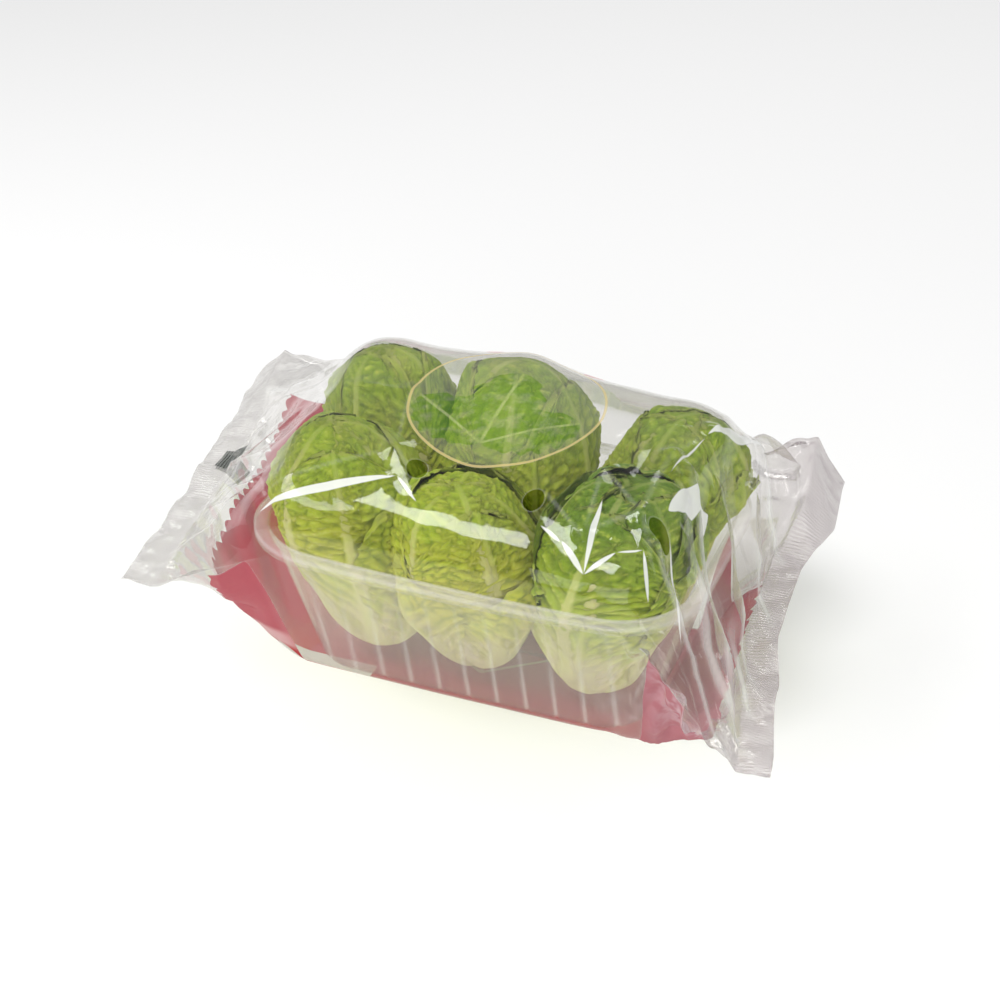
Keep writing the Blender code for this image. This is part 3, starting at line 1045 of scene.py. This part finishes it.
def film_finish():
    """Clear glossy film: red field on its lower layer, oval sprig on top, vents, plain panels."""
    finish = finish_for("printed_clear_film")
    x, y, z = finish.place()
    upper = finish.attribute("upper")
    crest_glint = finish.attribute("crest_glint")
    stage = finish.attribute("stage")
    lower = upper.rise(0.51, 0.49)
    loose = stage.rise(0.05, 0.75)
    fine = finish.noise(150.0, 2.0)
    red = red_field(x, y, stage) * lower
    panel = plate(x, y, PANEL, 0.0005) * lower
    mark = plate(x, y, MARK, 0.0003)
    stripes = (x * (2 * math.pi / STRIPE_PITCH)).wave().rise(-0.2, 0.6)
    print_x = x + (finish.noise(26.0, 2.0) - 0.5) * 0.002
    badge = oval(print_x, y, *BADGE)
    ring = abs(badge - 1.0).rise(0.02, 0.01) * upper
    inside = badge.rise(1.0, 0.97) * upper
    sprig = [printed_leaf(print_x, y, *leaf) for leaf in SPRIG]
    mottle = finish.noise(110.0, 4.0, 0.6)
    leaves = together([shape for shape, _ in sprig]) * inside * mottle.rise(0.2, 0.55)
    veins = together([shape * middle for shape, middle in sprig])
    dots = together([oval(print_x, y, *dot).rise(1.0, 0.9) for dot in DOTS]) * upper
    painted_glare = together([painted_glare_streak(x, y, *line) for line in PAINTED_GLARE_STREAKS]) * upper
    holes = [oval(x, y, place, (VENT_RADIUS, VENT_RADIUS)) for place in VENTS]
    vent_rim = together([abs(hole - 1.06).rise(0.07, 0.03) for hole in holes]) * upper
    vents = together([hole.rise(1.02, 0.98) for hole in holes]) * upper * stage.rise(0.5, 0.4)

    crimps = (y * (2 * math.pi / CRIMP_PITCH)).wave() * stage.rise(0.98, 1.03)
    normal = finish.bump(crimps * 0.8 + fine * (0.35 + loose * 0.55), 0.0005, 0.42)
    haze = finish.facing() ** 3.0 * 0.15 + 0.01 + loose * 0.17 + stage.rise(0.9, 1.02) * 0.04 + inside * 0.07
    # crest and glare marks are painted highlights: whiter, denser film along the folds' crests and in bright
    # streaks beside them
    cover = together([haze, crest_glint * 0.42, painted_glare * 0.78, vent_rim * 0.12])
    veil = finish.blend(x.rise(-0.05, 0.08), (222, 218, 216), (188, 172, 178))
    shade = finish.blend(loose, (232, 230, 230), veil)
    shade = finish.blend(crest_glint.most(painted_glare), shade, (242, 243, 240))
    grey = finish.blend(stripes, (112, 116, 112), (58, 60, 58))
    prints = (
        # where, how dense, colour
        (red, 0.93, red_ink(finish, x, y, z, fine)), (leaves, 0.34, (92, 148, 52)),
        (veins, inside * 0.26, (206, 222, 160)), (ring, 0.62, (226, 204, 142)),
        (dots, 0.85, (196, 40, 44)), (panel, 0.95, (206, 200, 194)), (mark, 0.84, grey),
    )
    for mask, density, tint in prints:
        cover = cover.most(mask * density)
        shade = finish.blend(mask, shade, tint)
    clear = finish.add("BsdfTransparent", None, {"Color": (0.905, 0.898, 0.887, 1.0)})
    print_haze_and_glare = finish.add("BsdfPrincipled", None, {
        "Base Color": shade, "Roughness": 0.4, "Normal": normal, "Specular IOR Level": 0.0})
    body = finish.mix_shaders(cover.least(1.0), clear, print_haze_and_glare)
    gloss = finish.add("BsdfGlossy", None, {
        "Color": (1.0, 1.0, 1.0, 1.0), "Roughness": 0.07, "Normal": normal})
    mirror = finish.add("Fresnel", None, {"IOR": 1.5, "Normal": normal})
    mirror = (mirror * 0.95).least(0.5) * (1.0 - red * 0.8) * (1.0 - loose * 0.25)
    # painted shade: the vent holes let light through a dark olive tint, standing for shade on the leaves
    # beneath
    shaded_vent_hole = finish.add("BsdfTransparent", None, {"Color": (0.42, 0.45, 0.28, 1.0)})
    return finish.done(finish.mix_shaders(vents, finish.mix_shaders(mirror, body, gloss), shaded_vent_hole))


# ---- stage ----
CAMERA_PLACE = (0.294, -0.756, 0.584)
CAMERA_LOOK = (-0.3092, 0.79, -0.5294)
CAMERA_ANGLE = 2.0 * math.atan(500.0 / 2255.0)


def aimed(name, data, place, direction):
    """A camera or light at a place, looking in a direction."""
    thing = new_object(name, data)
    thing.location = place
    thing.rotation_euler = mathutils.Vector(direction).to_track_quat("-Z", "Y").to_euler()
    return thing


def build_camera():
    data = bpy.data.cameras.new("camera")
    data.sensor_width = 36.0
    data.lens = 18.0 / math.tan(CAMERA_ANGLE / 2.0)
    data.clip_start = 0.01
    bpy.context.scene.camera = aimed("camera", data, CAMERA_PLACE, CAMERA_LOOK)


def area_light(name, place, size, power):
    data = bpy.data.lights.new(name, "AREA")
    data.shape = "RECTANGLE"
    data.size, data.size_y = size
    data.energy = power
    aimed(name, data, place, LIGHT_TARGET - mathutils.Vector(place))


LIGHTS = (
    # soft boxes aimed at the heads: name, place, size, power
    ("key_box", (-0.35, -0.55, 1.15), (0.56, 0.34), 6.5),
    ("left_box", (-0.86, -0.34, 0.95), (0.95, 0.15), 2.6),
    ("front_box", (0.3, -1.2, 0.42), (0.9, 0.5), 3.0),
    ("fill_box", (0.95, -0.1, 0.95), (0.26, 0.26), 1.1),
    ("back_box", (0.15, 1.05, 0.95), (0.6, 0.3), 2.0),
)
LIGHT_TARGET = mathutils.Vector((0.0, 0.0, 0.05))
SURROUND = 0.57  # brightness of the surround, and of its reflections
SURROUND_GLOSS = 0.2


def build_stage():
    """Pale floor, soft surround that reflects dimly, and five soft boxes."""
    finish = finish_for("pale_floor")
    paint = finish.add("BsdfPrincipled", None, {
        "Base Color": (0.97, 0.97, 0.97, 1.0), "Roughness": 0.9})
    bpy.ops.mesh.primitive_plane_add(size=8.0, location=(0.0, 0.0, 0.0))
    floor = bpy.context.object
    floor.name = "floor"
    floor.data.materials.append(finish.done(paint))
    surround = Finish(bpy.data.worlds.new("soft_surround"))
    glossy = surround.add("LightPath", output="Is Glossy Ray")
    inputs = {"Value": glossy, "To Min": SURROUND, "To Max": SURROUND_GLOSS}
    inputs = {"Color": (1.0, 1.0, 1.0, 1.0), "Strength": surround.add("MapRange", None, inputs)}
    glow = surround.add("Background", None, inputs)
    scene = bpy.context.scene
    scene.world = surround.done(glow, "OutputWorld")
    for light in LIGHTS:
        area_light(*light)
    scene.view_settings.view_transform = "Standard"
    scene.cycles.transparent_max_bounces = 24


def main():
    film = build_film()
    tray = build_tray()
    build_heads([surface_tree(film), surface_tree(tray)])
    build_camera()
    build_stage()


main()
